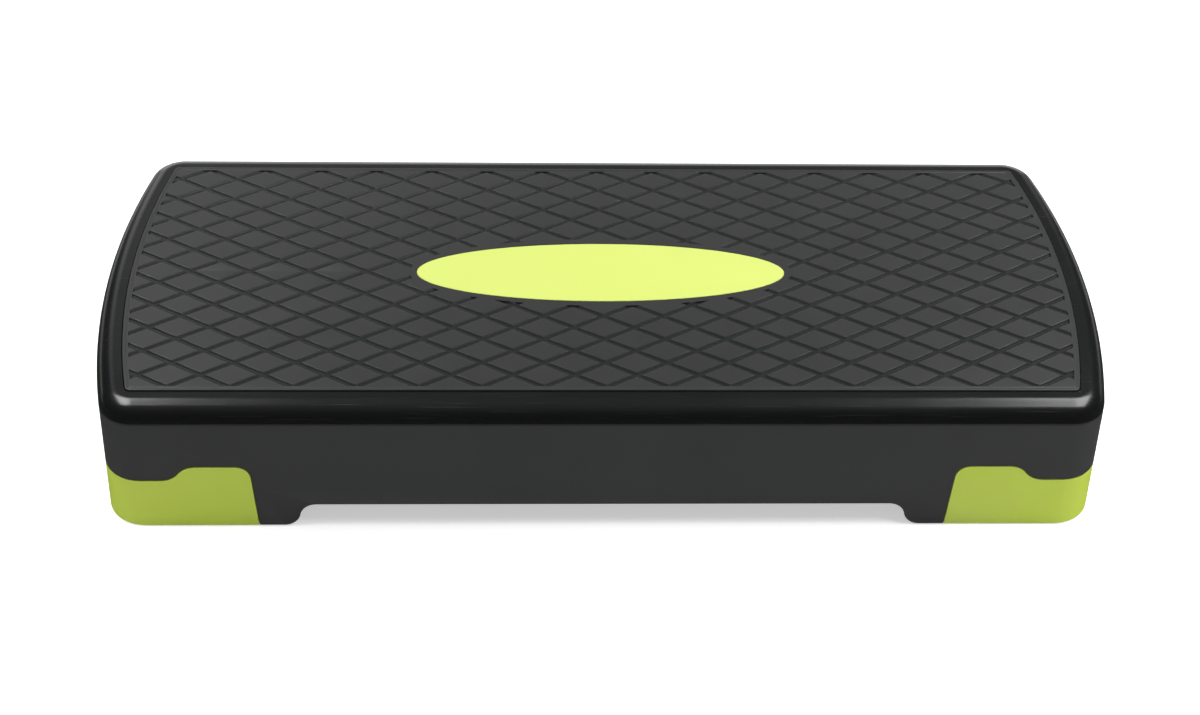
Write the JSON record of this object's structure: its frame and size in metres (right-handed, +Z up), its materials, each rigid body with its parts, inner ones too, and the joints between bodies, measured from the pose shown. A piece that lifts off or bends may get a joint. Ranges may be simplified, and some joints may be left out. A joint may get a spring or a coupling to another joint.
{
  "type": "aerobic step",
  "caption": "Low exercise step: a rectangular deck with a grooved mat and an oval plate, on end risers that slide down to a second height.",
  "frame": {"origin": "on the floor under the middle of the deck", "axes": "+X along the length to the right seen from the front, +Y from front to rear, +Z up"},
  "size_m": [0.68, 0.29, 0.1],
  "materials": {
    "deck_plastic": "fine moulded grain, slightly glossy rim",
    "tread_mat": "matte with a fine grain",
    "badge_plastic": "satin",
    "riser_plastic": "satin, fine moulded grain",
    "lock_plastic": "satin",
    "screw_steel": "zinc plated",
    "pad_rubber": "matte"
  },
  "bodies": {
    "deck": {"deck_shell": "deck_plastic", "tread_mat": "tread_mat", "badge_plate": "badge_plastic", "left_front_lock_cover": "deck_plastic", "left_rear_lock_cover": "deck_plastic", "right_front_lock_cover": "deck_plastic", "right_rear_lock_cover": "deck_plastic", "left_front_cover_screw_a": "screw_steel", "left_front_cover_screw_b": "screw_steel", "left_rear_cover_screw_a": "screw_steel", "left_rear_cover_screw_b": "screw_steel", "right_front_cover_screw_a": "screw_steel", "right_front_cover_screw_b": "screw_steel", "right_rear_cover_screw_a": "screw_steel", "right_rear_cover_screw_b": "screw_steel", "left_front_deck_pad": "pad_rubber", "left_rear_deck_pad": "pad_rubber", "right_front_deck_pad": "pad_rubber", "right_rear_deck_pad": "pad_rubber"},
    "left_riser": {"left_riser": "riser_plastic", "left_front_riser_pad": "pad_rubber", "left_rear_riser_pad": "pad_rubber"},
    "right_riser": {"right_riser": "riser_plastic", "right_front_riser_pad": "pad_rubber", "right_rear_riser_pad": "pad_rubber"},
    "left_front_lock": {"left_front_lock_slide": "lock_plastic"},
    "left_rear_lock": {"left_rear_lock_slide": "lock_plastic"},
    "right_front_lock": {"right_front_lock_slide": "lock_plastic"},
    "right_rear_lock": {"right_rear_lock_slide": "lock_plastic"}
  },
  "joints": [
    {"name": "left_riser_slide", "type": "slide", "parent": "deck", "child": "left_riser", "axis": [0, 0, -1], "range_m": [0, 0.05]},
    {"name": "right_riser_slide", "type": "slide", "parent": "deck", "child": "right_riser", "axis": [0, 0, -1], "range_m": [0, 0.05]},
    {"name": "left_front_lock_travel", "type": "slide", "parent": "deck", "child": "left_front_lock", "axis": [-1, 0, 0], "range_m": [0, 0.008]},
    {"name": "left_rear_lock_travel", "type": "slide", "parent": "deck", "child": "left_rear_lock", "axis": [-1, 0, 0], "range_m": [0, 0.008]},
    {"name": "right_front_lock_travel", "type": "slide", "parent": "deck", "child": "right_front_lock", "axis": [1, 0, 0], "range_m": [0, 0.008]},
    {"name": "right_rear_lock_travel", "type": "slide", "parent": "deck", "child": "right_rear_lock", "axis": [1, 0, 0], "range_m": [0, 0.008]}
  ]
}
